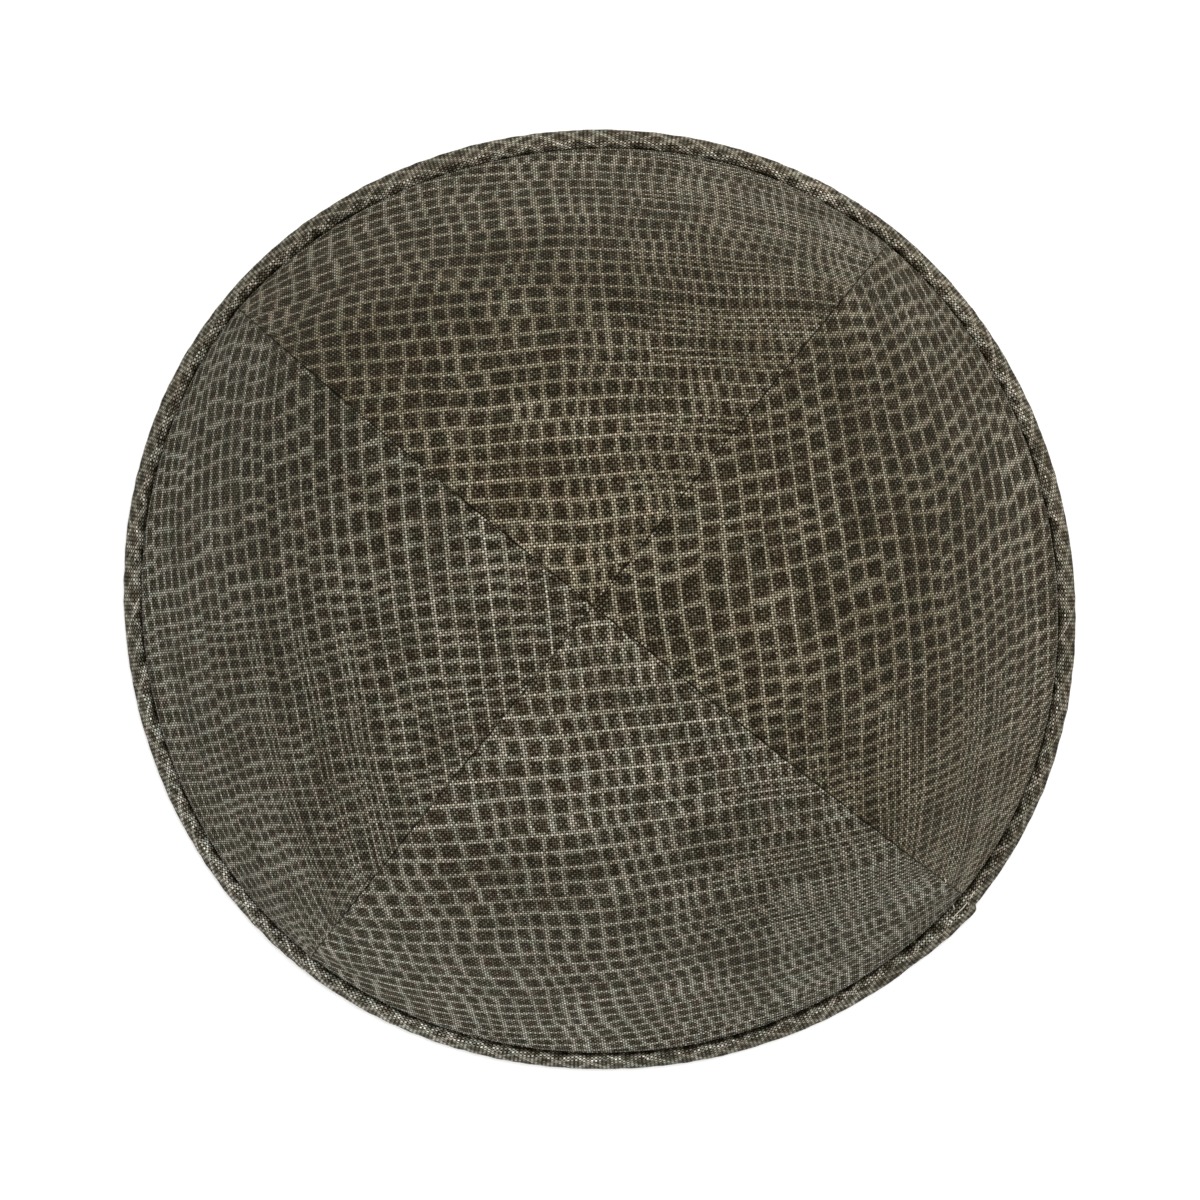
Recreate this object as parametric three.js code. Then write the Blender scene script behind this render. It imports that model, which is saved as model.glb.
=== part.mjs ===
// Four-panel cloth kippah: a soft dome of four sewn panels with a bound edge, resting on its rim.
// Millimetres, +Z up. The origin is under the middle of the cap, on the surface it rests on.
// The panels face +Y (back), -X (left), -Y (front) and +X (right), so the seams run on the diagonals.

import * as THREE from "three";
import { mergeVertices } from "three/addons/utils/BufferGeometryUtils.js";

const rad = THREE.MathUtils.degToRad;
const quarterTurn = rad(90);
const fullTurn = rad(360);

// Whole cap
const rimRadius = 80; // mean radius over the edge binding
const seamAngle = 45; // degrees from a panel's middle to its seam
const apexLean = { x: -1.2, y: -0.8 }; // the crown sits a little to the front left of the rim's middle

// Meridian down the middle of a panel: a round crown, a flatter shoulder and a straight skirt
const crown = { radius: 72, endSlope: 48 };
const shoulder = { radius: 146, endSlope: 57 };
const skirtSlope = shoulder.endSlope;

// Cloth
const clothThickness = 1.2;
const seamGap = 0.3; // between the edges of two neighbouring panels
const tipRadius = 0.35; // a panel's tip stops this far from the crown's middle

// Edge binding, a folded strip round the panels' lower edges
const binding = {
  wall: 1.0,
  clearance: 0.3,
  outerHeight: 4.3, // along the skirt, from the rim's lowest line
  innerHeight: 5.0,
  slotFloor: 2.0,
  hemRound: 0.5,
  foldRound: 0.35,
};

// The strip's ends overlap at the front right seam, and the upper end stands proud and fades away
const stripJoin = { angle: -45.5, proud: 0.9, fadeLength: 15 };

// How far the contour bulges out at the seams, from the crown (down 0) to the rim (down 1)
const seamBulge = [
  { down: 0.0, bulge: 0.02 },
  { down: 0.25, bulge: 0.05 },
  { down: 0.5, bulge: 0.064 },
  { down: 0.75, bulge: 0.045 },
  { down: 1.0, bulge: 0.0 },
];

// Slow waves of the rim's outline, as shares of its radius
const rimWaves = [
  { waves: 2, size: 0.0104, peakAngle: -32.4 },
  { waves: 3, size: 0.0018, peakAngle: -42.7 },
  { waves: 4, size: 0.0064, peakAngle: 47.4 },
];

// Mesh fineness
const panelColumns = 14;
const panelRows = 18;
const bindingSegments = 96;
const weldDistance = 1e-4;

const panelNames = [
  { name: "panel_right", middle: 0 },
  { name: "panel_back", middle: 90 },
  { name: "panel_left", middle: 180 },
  { name: "panel_front", middle: 270 },
];

const printedCotton = { color: 0x57513f, roughness: 0.9, metalness: 0.0 };
const bindingCotton = { color: 0x5e584a, roughness: 0.9, metalness: 0.0 };

const skirt = {
  up: new THREE.Vector2(-Math.cos(rad(skirtSlope)), Math.sin(rad(skirtSlope))),
  out: new THREE.Vector2(Math.sin(rad(skirtSlope)), Math.cos(rad(skirtSlope))),
};

// The binding is widest where its hem turns under, a little above the surface
const hemInset = binding.hemRound * 0.6;
const bindingOutFace = binding.clearance + binding.wall;

// Radius where the panels' outer face, carried on down the skirt, would meet the surface
const skirtFoot = rimRadius + hemInset - bindingOutFace / skirt.out.x;

const crownArc = crown.radius * rad(crown.endSlope);
const shoulderArc = shoulder.radius * rad(shoulder.endSlope - crown.endSlope);
const crownEnd = crown.radius * Math.sin(rad(crown.endSlope));
const shoulderSpan = Math.sin(rad(shoulder.endSlope)) - Math.sin(rad(crown.endSlope));
const shoulderEnd = crownEnd + shoulder.radius * shoulderSpan;
const skirtLength = (skirtFoot - shoulderEnd) / Math.cos(rad(skirtSlope));
const meridianLength = crownArc + shoulderArc + skirtLength;

// Radius, drop below the crown and slope at a length along the meridian
function meridian(along) {
  if (along <= crownArc) {
    const slope = along / crown.radius;
    return {
      radius: crown.radius * Math.sin(slope),
      drop: crown.radius * (1 - Math.cos(slope)),
      slope,
    };
  }
  const crownDrop = crown.radius * (1 - Math.cos(rad(crown.endSlope)));
  if (along <= crownArc + shoulderArc) {
    const slope = rad(crown.endSlope) + (along - crownArc) / shoulder.radius;
    return {
      radius: crownEnd + shoulder.radius * (Math.sin(slope) - Math.sin(rad(crown.endSlope))),
      drop: crownDrop + shoulder.radius * (Math.cos(rad(crown.endSlope)) - Math.cos(slope)),
      slope,
    };
  }
  const shoulderFall = Math.cos(rad(crown.endSlope)) - Math.cos(rad(shoulder.endSlope));
  const onSkirt = along - crownArc - shoulderArc;
  return {
    radius: shoulderEnd + onSkirt * Math.cos(rad(skirtSlope)),
    drop: crownDrop + shoulder.radius * shoulderFall + onSkirt * Math.sin(rad(skirtSlope)),
    slope: rad(skirtSlope),
  };
}

const capHeight = meridian(meridianLength).drop;

function bulgeAt(down) {
  const clamped = THREE.MathUtils.clamp(down, 0, 1);
  const upper = seamBulge.findIndex((row) => row.down >= clamped);
  if (upper <= 0) {
    return seamBulge[0].bulge;
  }
  const before = seamBulge[upper - 1];
  const after = seamBulge[upper];
  const share = THREE.MathUtils.smoothstep(clamped, before.down, after.down);
  return THREE.MathUtils.lerp(before.bulge, after.bulge, share);
}

// The rim's outline at an angle, as a share of its mean radius
function rimOutline(angle) {
  let share = 1;
  for (const wave of rimWaves) {
    share += wave.size * Math.cos(wave.waves * (angle - rad(wave.peakAngle)));
  }
  return share;
}

// A point of the cap from its place in the round meridian section: angle, radius and height
function shapedPoint(angle, radius, height) {
  const down = THREE.MathUtils.clamp(1 - height / capHeight, 0, 1);
  const panelMiddle = Math.round(angle / quarterTurn) * quarterTurn;
  const offMiddle = (angle - panelMiddle) / rad(seamAngle);
  const seamFactor = 1 + bulgeAt(down) * offMiddle * offMiddle;
  const outlineFactor = THREE.MathUtils.lerp(1, rimOutline(angle), down);
  const shaped = radius * seamFactor * outlineFactor;
  const lean = 1 - down;
  return new THREE.Vector3(
    shaped * Math.cos(angle) + apexLean.x * lean,
    shaped * Math.sin(angle) + apexLean.y * lean,
    height,
  );
}

function closedGeometry(geometry) {
  geometry.deleteAttribute("normal");
  geometry.deleteAttribute("uv");
  const merged = mergeVertices(geometry, weldDistance);
  merged.computeVertexNormals();
  return merged;
}

// One panel: a box of one cell's depth, bent over the dome between two seams
function panelGeometry(middle) {
  const geometry = new THREE.BoxGeometry(2, 1, 1, panelColumns, panelRows, 1);
  const position = geometry.attributes.position;
  const tipAlong = crown.radius * Math.asin(tipRadius / crown.radius);
  const edgeAlong = meridianLength - binding.slotFloor - binding.clearance;
  for (let i = 0; i < position.count; i += 1) {
    const across = position.getX(i);
    const downShare = 0.5 - position.getY(i);
    const inside = 0.5 - position.getZ(i);
    const place = meridian(THREE.MathUtils.lerp(tipAlong, edgeAlong, downShare));
    const outAngle = rad(seamAngle) - Math.asin(seamGap / 2 / place.radius);
    const angle = rad(middle) + across * outAngle;
    const depth = inside * clothThickness;
    const radius = place.radius - depth * Math.sin(place.slope);
    const height = capHeight - place.drop - depth * Math.cos(place.slope);
    const point = shapedPoint(angle, radius, height);
    position.setXYZ(i, point.x, point.y, point.z);
  }
  return closedGeometry(geometry);
}

// A point of the binding's section: out from the panels' outer face, and up along the skirt
function sectionPoint(out, up) {
  return new THREE.Vector2(
    skirtFoot + out * skirt.out.x + up * skirt.up.x,
    out * skirt.out.y + up * skirt.up.y,
  );
}

// Where a line parallel to the skirt, this far out from the panels, meets the surface
function groundPoint(out) {
  return sectionPoint(out, (-out * skirt.out.y) / skirt.up.y);
}

// The folded strip's section: foot, outer wall, slot for the panels' edges, inner wall
function bindingSection() {
  const slotIn = -clothThickness - binding.clearance;
  const inFace = slotIn - binding.wall;
  const fold = binding.foldRound;
  const hem = binding.hemRound;
  const footOut = groundPoint(bindingOutFace);
  const hemLow = new THREE.Vector2(footOut.x - hem * 2, 0);
  const hemMiddle = new THREE.Vector2(footOut.x - hemInset, hemInset);
  const points = [
    groundPoint(inFace),
    hemLow,
    hemMiddle,
    sectionPoint(bindingOutFace, hem),
    sectionPoint(bindingOutFace, binding.outerHeight - fold),
    sectionPoint(bindingOutFace - fold, binding.outerHeight),
    sectionPoint(binding.clearance, binding.outerHeight),
    sectionPoint(binding.clearance, binding.slotFloor),
    sectionPoint(slotIn, binding.slotFloor),
    sectionPoint(slotIn, binding.innerHeight),
    sectionPoint(inFace + fold, binding.innerHeight),
    sectionPoint(inFace, binding.innerHeight - fold),
  ];
  points.push(points[0].clone());
  return points;
}

// How far the strip's upper end stands out at an angle, and how it fades past the join
function joinProud(angle) {
  const past = THREE.MathUtils.euclideanModulo(rad(stripJoin.angle) - angle, fullTurn);
  const share = (past * rimRadius) / stripJoin.fadeLength;
  return stripJoin.proud * Math.max(0, 1 - share);
}

function bindingGeometry() {
  const geometry = new THREE.LatheGeometry(bindingSection(), bindingSegments);
  const position = geometry.attributes.position;
  const wallMiddle = bindingOutFace / 2;
  for (let i = 0; i < position.count; i += 1) {
    const x = position.getX(i);
    const height = position.getY(i);
    const z = position.getZ(i);
    const radius = Math.hypot(x, z);
    const angle = Math.atan2(x, z);
    const outAtHeight = (radius - skirtFoot) * skirt.out.x + height * skirt.out.y;
    const proud = outAtHeight > wallMiddle ? joinProud(angle) : 0;
    const point = shapedPoint(angle, radius + proud, height);
    position.setXYZ(i, point.x, point.y, point.z);
  }
  return closedGeometry(geometry);
}

function namedMesh(name, geometry, look) {
  const mesh = new THREE.Mesh(geometry, new THREE.MeshStandardMaterial(look));
  mesh.name = name;
  return mesh;
}

const kippah = new THREE.Group();

for (const panel of panelNames) {
  kippah.add(namedMesh(panel.name, panelGeometry(panel.middle), printedCotton));
}

const edge = namedMesh("edge_binding", bindingGeometry(), bindingCotton);
kippah.add(edge);

// The rim's box is centred over the origin
const rimMiddle = new THREE.Box3().setFromObject(edge).getCenter(new THREE.Vector3());
kippah.position.set(-rimMiddle.x, -rimMiddle.y, 0);

export default kippah;
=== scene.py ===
import math

import bmesh
import bpy
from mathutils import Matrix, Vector, noise


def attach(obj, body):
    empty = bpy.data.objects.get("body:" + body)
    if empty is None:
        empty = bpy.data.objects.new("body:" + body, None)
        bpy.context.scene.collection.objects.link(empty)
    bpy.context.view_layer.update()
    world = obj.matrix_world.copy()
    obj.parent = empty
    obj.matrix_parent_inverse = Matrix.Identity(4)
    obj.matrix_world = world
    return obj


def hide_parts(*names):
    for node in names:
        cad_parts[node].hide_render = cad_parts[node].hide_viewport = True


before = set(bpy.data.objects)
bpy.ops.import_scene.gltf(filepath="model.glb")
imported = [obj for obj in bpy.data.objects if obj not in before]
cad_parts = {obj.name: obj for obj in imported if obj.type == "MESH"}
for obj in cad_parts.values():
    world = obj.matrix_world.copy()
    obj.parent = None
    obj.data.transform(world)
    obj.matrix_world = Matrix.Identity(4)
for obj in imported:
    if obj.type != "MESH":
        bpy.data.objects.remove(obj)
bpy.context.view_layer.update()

# The whole cap, in metres: the same meridian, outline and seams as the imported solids
cap = {
    "rimRadius": 0.080,  # mean radius over the edge binding
    "crownRadius": 0.072,
    "crownEndSlope": math.radians(48),
    "shoulderRadius": 0.146,
    "skirtSlope": math.radians(57),
    "seamAngle": math.radians(45),  # from a panel's middle to its seam
    "apexLean": (-0.0012, -0.0008),
    "bindingReach": 0.00125,  # level reach of the binding past the panels at the surface
    "seamBulge": [(0.0, 0.02), (0.25, 0.05), (0.5, 0.064), (0.75, 0.045), (1.0, 0.0)],
    "rimWaves": [(2, 0.0104, -32.4), (3, 0.0018, -42.7), (4, 0.0064, 47.4)],  # count, size, peak angle
}
mm = 0.001


def smoothStep(value, low, high):
    share = min(max((value - low) / (high - low), 0.0), 1.0)
    return share * share * (3 - 2 * share)


def mix(a, b, share):
    return a + (b - a) * share


sinSkirt = math.sin(cap["skirtSlope"])
cosSkirt = math.cos(cap["skirtSlope"])
sinCrown = math.sin(cap["crownEndSlope"])
cosCrown = math.cos(cap["crownEndSlope"])
skirtFoot = cap["rimRadius"] - cap["bindingReach"]  # where the panels' outer face would meet the surface
crownArc = cap["crownRadius"] * cap["crownEndSlope"]
shoulderArc = cap["shoulderRadius"] * (cap["skirtSlope"] - cap["crownEndSlope"])
crownEnd = cap["crownRadius"] * sinCrown
crownDrop = cap["crownRadius"] * (1 - cosCrown)
shoulderEnd = crownEnd + cap["shoulderRadius"] * (sinSkirt - sinCrown)
shoulderDrop = crownDrop + cap["shoulderRadius"] * (cosCrown - cosSkirt)
skirtLength = (skirtFoot - shoulderEnd) / cosSkirt
meridianLength = crownArc + shoulderArc + skirtLength
capHeight = shoulderDrop + skirtLength * sinSkirt


def meridian(along):
    # radius, drop below the crown and slope at a length down the middle of a panel
    if along <= crownArc:
        slope = along / cap["crownRadius"]
        return cap["crownRadius"] * math.sin(slope), cap["crownRadius"] * (1 - math.cos(slope)), slope
    if along <= crownArc + shoulderArc:
        slope = cap["crownEndSlope"] + (along - crownArc) / cap["shoulderRadius"]
        radius = crownEnd + cap["shoulderRadius"] * (math.sin(slope) - sinCrown)
        return radius, crownDrop + cap["shoulderRadius"] * (cosCrown - math.cos(slope)), slope
    onSkirt = along - crownArc - shoulderArc
    return shoulderEnd + onSkirt * cosSkirt, shoulderDrop + onSkirt * sinSkirt, cap["skirtSlope"]


def alongAt(radius):
    # length down the meridian where it has this radius
    if radius <= crownEnd:
        return cap["crownRadius"] * math.asin(max(radius, 0) / cap["crownRadius"])
    if radius <= shoulderEnd:
        sine = sinCrown + (radius - crownEnd) / cap["shoulderRadius"]
        return crownArc + cap["shoulderRadius"] * (math.asin(sine) - cap["crownEndSlope"])
    return crownArc + shoulderArc + (radius - shoulderEnd) / cosSkirt


def bulgeAt(down):
    rows = cap["seamBulge"]
    for before, after in zip(rows, rows[1:]):
        if down <= after[0]:
            return mix(before[1], after[1], smoothStep(down, before[0], after[0]))
    return rows[-1][1]


def rimOutline(angle):
    share = 1.0
    for count, size, peak in cap["rimWaves"]:
        share += size * math.cos(count * (angle - math.radians(peak)))
    return share


def roundPoint(angle, radius, height):
    down = min(max(1 - height / capHeight, 0.0), 1.0)
    quarter = math.radians(90)
    offMiddle = (angle - round(angle / quarter) * quarter) / cap["seamAngle"]
    shaped = radius * (1 + bulgeAt(down) * offMiddle * offMiddle) * mix(1, rimOutline(angle), down)
    lean = 1 - down
    return Vector((
        shaped * math.cos(angle) + cap["apexLean"][0] * lean,
        shaped * math.sin(angle) + cap["apexLean"][1] * lean,
        height,
    ))


# The solids stand with their rim's box over the origin, so the cap's axis lies a little off it
rimRing = [roundPoint(math.radians(turn), cap["rimRadius"], 0) for turn in range(360)]
axis = Vector((
    -(max(p.x for p in rimRing) + min(p.x for p in rimRing)) / 2,
    -(max(p.y for p in rimRing) + min(p.y for p in rimRing)) / 2,
    0,
))


def capPoint(angle, along, lift=0.0):
    # angle about the axis, length down from the crown, and height off the cloth
    radius, drop, slope = meridian(along)
    height = capHeight - drop + lift * math.cos(slope)
    return axis + roundPoint(angle, radius + lift * math.sin(slope), height)


# Camera, floor and light
studio = {
    "cameraHeight": 0.85,
    "pictureWidth": 0.2021,  # what the photo's width spans at the surface
    "capTurn": math.radians(6),  # the cap lies turned to the left in the picture
    "sensor": 36.0,
    "floorSize": 6.0,
    "floorColor": (0.965, 0.965, 0.96, 1),
    "floorRoughness": 0.9,
    "floorGloss": 0.1,
    "skyStrength": 1.22,
    "keyPower": 12.5,
    "keySize": 1.2,
    "keyPlace": (0.5, 0.7, 1.5),
}


def makeStudio():
    camera = bpy.data.cameras.new("camera")
    camera.sensor_width = studio["sensor"]
    camera.lens = studio["sensor"] * studio["cameraHeight"] / studio["pictureWidth"]
    cameraObject = bpy.data.objects.new("camera", camera)
    cameraObject.location = (axis.x, axis.y, studio["cameraHeight"])
    cameraObject.rotation_euler = (0, 0, -studio["capTurn"])
    bpy.context.scene.collection.objects.link(cameraObject)
    bpy.context.scene.camera = cameraObject

    shape = bmesh.new()
    bmesh.ops.create_grid(shape, x_segments=1, y_segments=1, size=studio["floorSize"] / 2)
    floor = finishMesh("floor", shape)
    floorFinish = bpy.data.materials.new("paleFloor")
    floorFinish.use_nodes = True
    floorShader = floorFinish.node_tree.nodes["Principled BSDF"]
    floorShader.inputs["Base Color"].default_value = studio["floorColor"]
    floorShader.inputs["Roughness"].default_value = studio["floorRoughness"]
    floorShader.inputs["Specular IOR Level"].default_value = studio["floorGloss"]
    floor.data.materials.append(floorFinish)

    world = bpy.data.worlds.new("softRoom")
    world.use_nodes = True
    world.node_tree.nodes["Background"].inputs["Color"].default_value = (1, 1, 1, 1)
    world.node_tree.nodes["Background"].inputs["Strength"].default_value = studio["skyStrength"]
    bpy.context.scene.world = world

    key = bpy.data.lights.new("keyLight", "AREA")
    key.energy = studio["keyPower"]
    key.size = studio["keySize"]
    keyObject = bpy.data.objects.new("keyLight", key)
    keyObject.location = studio["keyPlace"]
    keyObject.rotation_euler = (-Vector(studio["keyPlace"])).to_track_quat("-Z", "Y").to_euler()
    bpy.context.scene.collection.objects.link(keyObject)
    bpy.context.scene.view_settings.view_transform = "Standard"


def finishMesh(name, shape):
    mesh = bpy.data.meshes.new(name)
    shape.to_mesh(mesh)
    shape.free()
    piece = bpy.data.objects.new(name, mesh)
    bpy.context.scene.collection.objects.link(piece)
    return piece


makeStudio()
print("studio made")


# Cloth: plain-weave cotton with a scale-like grid print, all lengths in millimetres
cloth = {
    "threadAcross": 0.398,  # between the threads that run down a panel
    "threadDown": 0.472,  # between the threads that run across it
    "cellWidth": 2.7,  # cells of the print on the binding
    "rowHeight": 3.1,
    "rowLine": (0.37, 0.24),  # half the width of the pale lines between rows, and how soft they are
    "crossLine": (0.38, 0.34),  # and of those between the cells of a row
    "denseLine": 0.11,  # how much narrower the lines are where the cells are small
    "crossStrength": 0.84,  # how pale the lines between the cells of a row are
    "cellJitter": 0.5,
    "rowWave": (0.035, 0.9),  # slow waves of the rows: how close they lie, and their size in rows
    "rowRipple": (0.13, 0.16),
    "cellDrift": (0.2, 0.2, 1.7),  # closeness along a row and from row to row, and how far cross lines stray
    "cellStep": (0.09, 0.9, 0.55),
    "cellWave": (0.16, 0.4),
    "raggedLines": (0.55, 0.5, 0.24),  # closeness of patches, and how far edges stray by patch and crossing
    "raggedRows": 0.7,  # and how much of that the lines between rows show
    "faintPatches": 0.11,  # how close the patches lie in which the cross lines fade
    "waveShift": 91.0,  # millimetres that keep two noises from matching
    "faintShift": 37.0,
    "crossFade": 0.5,
    "crossMiss": 1.1,
    "inkMottle": 0.22,  # how much of the ink some crossings miss
    "brownPatches": (0.05, 1.6),  # how close patches of browner ink lie, and how brown they are
    "brownCells": 0.8,  # how much browner single cells are
    "darkCells": 0.6,
    "evenPaling": 0.35,  # how much of its ink every thread loses where the cloth is worn, and under painted highlights
    "huePatches": (0.13, 1.8),
    "slubs": {"across": 1.0, "down": 9.0, "closeness": 0.22, "detail": 1.0, "strength": 0.35},
    "streaks": {"across": 0.3, "down": 3.0, "closeness": 0.2, "detail": 2.0, "strength": 0.5},
    "rowTone": (0.06, 0.9, 0.35),  # some stretches of the rows are lighter than others
    "underLight": 0.63,  # where a cross thread lies under, and how much that differs
    "underSpread": 0.45,
    "topLight": 2.12,  # and where it lies on top
    "topSpread": 0.9,
    "holeDark": 0.96,
    "holeEdge": (0.01, 0.24),  # where the hole between four threads begins, and where it is darkest
    "dotLight": 0.12,  # how much lighter every crossing is than the gaps round it
    "topRound": 0.8,
    "topHeight": 0.6,  # how far a thread on top stands over the others, in threads
    "inkContrast": 0.3,  # how much further the ink sets the threads apart
    "threadTone": 0.24,  # how much lighter some threads are
    "warmDepth": (0.0, 0.08, 0.36),  # how much faster green and blue fall off between the threads
    "warmUpTo": 1.6,  # and the light above which they fall off no further
    "coolCloth": (0.978, 1.008, 1.062, 1),
    "warmCloth": (1.05, 0.975, 0.89, 1),
    "greenish": (0.94, 1.02, 0.985, 1),
    "reddish": (1.05, 0.985, 0.96, 1),
    "roughness": (0.93, 0.85),  # of bare cloth, and of inked cloth
    "gloss": 0.05,
    "sheen": 0.02,
    "sheenRoughness": 0.5,
    "sheenTint": (1.0, 0.94, 0.8, 1),
    "bump": (0.6, 0.12 * mm),
}
finishes = {
    "printedCloth": {
        "pale": (0.207, 0.188, 0.143, 1),
        "ink": (0.0225, 0.0165, 0.0090, 1),
        "inkBrown": (0.039, 0.0280, 0.0148, 1),
        "inkOlive": (0.029, 0.0245, 0.0133, 1),
        "foldShadeShare": 1.0,  # how much of the folds' painted shade shows on this side
    },
    "wrongSide": {  # the print shows through faintly from behind
        "pale": (0.235, 0.222, 0.190, 1),
        "ink": (0.150, 0.136, 0.108, 1),
        "inkBrown": (0.165, 0.145, 0.112, 1),
        "inkOlive": (0.150, 0.140, 0.110, 1),
        "foldShadeShare": 0.55,
    },
}


class ClothNodes:
    # adds nodes to one material and hands back their sockets
    def __init__(self, tree):
        self.tree = tree

    def join(self, value, socket):
        if isinstance(value, bpy.types.NodeSocket):
            self.tree.links.new(value, socket)
        else:
            socket.default_value = value

    def math(self, operation, a, b=0.0, c=0.0, clamp=False):
        node = self.tree.nodes.new("ShaderNodeMath")
        node.operation = operation
        node.use_clamp = clamp
        for value, socket in zip((a, b, c), node.inputs):
            self.join(value, socket)
        return node.outputs[0]

    def step(self, value, low, high):
        node = self.tree.nodes.new("ShaderNodeMapRange")
        node.interpolation_type = "SMOOTHSTEP"
        self.join(value, node.inputs["Value"])
        self.join(low, node.inputs["From Min"])
        self.join(high, node.inputs["From Max"])
        return node.outputs["Result"]

    def mixColor(self, share, a, b, blend="MIX"):
        node = self.tree.nodes.new("ShaderNodeMix")
        node.data_type = "RGBA"
        node.blend_type = blend
        sockets = [socket for socket in node.inputs if socket.enabled]
        for value, socket in zip((share, a, b), sockets):
            self.join(value, socket)
        return [socket for socket in node.outputs if socket.enabled][0]

    def noise(self, vector, scale, detail=1.0, rough=0.5):
        # smooth noise about zero
        node = self.tree.nodes.new("ShaderNodeTexNoise")
        node.noise_dimensions = "2D"
        self.join(vector, node.inputs["Vector"])
        node.inputs["Scale"].default_value = scale
        node.inputs["Detail"].default_value = detail
        node.inputs["Roughness"].default_value = rough
        return self.math("SUBTRACT", node.outputs["Fac"], 0.5)

    def random(self, vector):
        node = self.tree.nodes.new("ShaderNodeTexWhiteNoise")
        node.noise_dimensions = "2D"
        self.join(vector, node.inputs["Vector"])
        return node.outputs["Value"]

    def cells(self, place, feature, jitter):
        node = self.tree.nodes.new("ShaderNodeTexVoronoi")
        node.voronoi_dimensions = "1D"
        node.feature = feature
        node.inputs["Scale"].default_value = 1.0
        node.inputs["Randomness"].default_value = jitter
        self.join(place, node.inputs["W"])
        return node

    def parts(self, vector):
        node = self.tree.nodes.new("ShaderNodeSeparateXYZ")
        self.join(vector, node.inputs[0])
        return node.outputs[0], node.outputs[1]

    def pair(self, x, y):
        node = self.tree.nodes.new("ShaderNodeCombineXYZ")
        self.join(x, node.inputs[0])
        self.join(y, node.inputs[1])
        return node.outputs[0]

    def uv(self, name):
        node = self.tree.nodes.new("ShaderNodeUVMap")
        node.uv_map = name
        return node.outputs[0]

    def attribute(self, name):
        node = self.tree.nodes.new("ShaderNodeAttribute")
        node.attribute_name = name
        return node.outputs["Fac"]


def softShader(finish, n, color, roughness, look, height):
    # what cloth and thread share: a dull colour with a little sheen, and the relief of the strands
    shader = finish.node_tree.nodes["Principled BSDF"]
    n.join(color, shader.inputs["Base Color"])
    n.join(roughness, shader.inputs["Roughness"])
    shader.inputs["Sheen Weight"].default_value = look["sheen"]
    bump = finish.node_tree.nodes.new("ShaderNodeBump")
    bump.inputs["Strength"].default_value, bump.inputs["Distance"].default_value = look["bump"]
    n.join(height, bump.inputs["Height"])
    n.join(bump.outputs["Normal"], shader.inputs["Normal"])
    return shader


def weaveNodes(n, weave):
    # the crossing that a point lies in, its place there, and the light and height of the threads
    across, down = n.parts(weave)
    threadU = n.math("DIVIDE", across, cloth["threadAcross"])
    threadV = n.math("DIVIDE", down, cloth["threadDown"])
    shareU = n.math("FRACT", threadU)
    shareV = n.math("FRACT", threadV)
    countU = n.math("FLOOR", threadU)
    countV = n.math("FLOOR", threadV)
    crossing = n.pair(countU, countV)
    halfCount = n.math("MULTIPLY", n.math("ADD", countU, countV), 0.5)
    crossOnTop = n.math("MULTIPLY", n.math("FRACT", halfCount), 2.0)
    humpU = n.math("SINE", n.math("MULTIPLY", shareU, math.pi))
    humpV = n.math("SINE", n.math("MULTIPLY", shareV, math.pi))
    dot = n.math("MULTIPLY", humpU, humpV)
    lowU = n.math("SUBTRACT", 1.0, humpU)
    lowV = n.math("SUBTRACT", 1.0, humpV)
    hole = n.step(n.math("MULTIPLY", lowU, lowV), *cloth["holeEdge"])
    speck = n.random(crossing)
    lift = n.math("MULTIPLY", n.math("POWER", dot, cloth["topRound"]), crossOnTop)
    dimmest = cloth["topLight"] - cloth["topSpread"] / 2
    top = n.math("MULTIPLY_ADD", speck, cloth["topSpread"], dimmest)
    other = n.random(n.pair(n.math("ADD", countU, 0.25), countV))
    darkest = cloth["underLight"] - cloth["underSpread"] / 2
    under = n.math("MULTIPLY_ADD", other, cloth["underSpread"], darkest)
    light = n.math("MULTIPLY_ADD", lift, n.math("SUBTRACT", top, under), under)
    light = n.math("MULTIPLY_ADD", dot, cloth["dotLight"], light)
    light = n.math("MULTIPLY", light, n.math("MULTIPLY_ADD", hole, -cloth["holeDark"], 1.0))
    evenTone = 1 - cloth["threadTone"] / 2
    warpTone = n.math("MULTIPLY_ADD", n.random(n.pair(countU, 0.5)), cloth["threadTone"], evenTone)
    weftTone = n.math("MULTIPLY_ADD", n.random(n.pair(0.5, countV)), cloth["threadTone"], evenTone)
    light = n.math("MULTIPLY", light, n.math("MULTIPLY", warpTone, weftTone))
    height = n.math("MULTIPLY_ADD", lift, cloth["topHeight"], dot)
    return {"across": across, "down": down, "shareU": shareU, "shareV": shareV,
            "crossing": crossing, "speck": speck, "other": other, "light": light, "height": height}


def rowNoise(n, threads, rowCount, stretch):
    # noise of its own for every row of the print, drawn out along the row
    alongRow, betweenRows, strength = stretch
    place = n.pair(n.math("MULTIPLY", threads["across"], alongRow), rowCount)
    return n.math("MULTIPLY", n.noise(place, betweenRows, 0.0), strength)


def threadNoise(n, threads, kind):
    # thick, thin, light and dark places, drawn out along the cross threads
    across = n.math("MULTIPLY", threads["across"], kind["across"])
    down = n.math("MULTIPLY", threads["down"], kind["down"])
    unevenness = n.noise(n.pair(across, down), kind["closeness"], kind["detail"])
    return n.math("MULTIPLY", unevenness, kind["strength"])


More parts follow.
